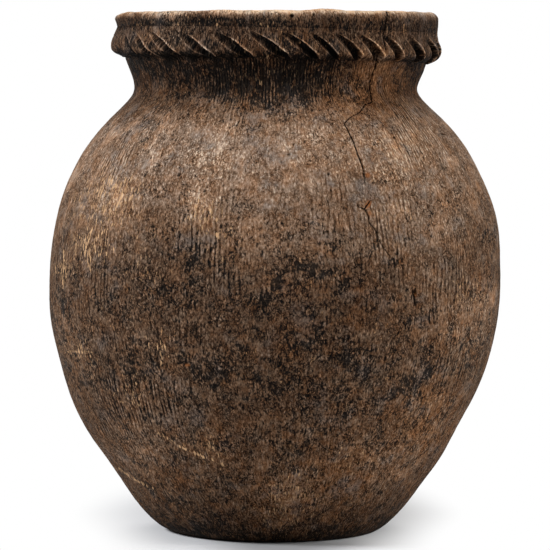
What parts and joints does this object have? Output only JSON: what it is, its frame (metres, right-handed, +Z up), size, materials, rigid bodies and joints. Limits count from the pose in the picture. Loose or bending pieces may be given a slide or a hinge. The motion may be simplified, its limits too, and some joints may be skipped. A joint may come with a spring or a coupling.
{
  "type": "terracotta jar",
  "caption": "Hand-built terracotta storage jar with a full belly, a short flared neck, a plain lip and a rope-twist band round the neck. It stands on a flat base and holds grain, water or oil.",
  "frame": {"origin": "centre of the flat underside", "axes": "+Z up along the jar's axis, -Y towards the side that the picture shows, +X to that side's right"},
  "size_m": [0.342, 0.342, 0.392],
  "materials": {
    "foot_clay": "matt, combed and smoke-stained",
    "belly_clay": "matt, combed and smoke-stained",
    "shoulder_clay": "matt, combed and worn pale",
    "neck_clay": "matt and dark with soot",
    "lip_clay": "matt, worn pale along the top",
    "band_clay": "matt, dark in the gouges and worn on the lobes"
  },
  "bodies": {
    "root": {"base_slab": "foot_clay", "heel_course": "foot_clay", "foot_course": "foot_clay", "lower_wall_course": "foot_clay", "lower_belly_course": "belly_clay", "upper_belly_course": "belly_clay", "lower_shoulder_course": "shoulder_clay", "upper_shoulder_course": "shoulder_clay", "neck_collar": "neck_clay", "rim_lip": "lip_clay", "rope_band": "band_clay"}
  },
  "joints": []
}
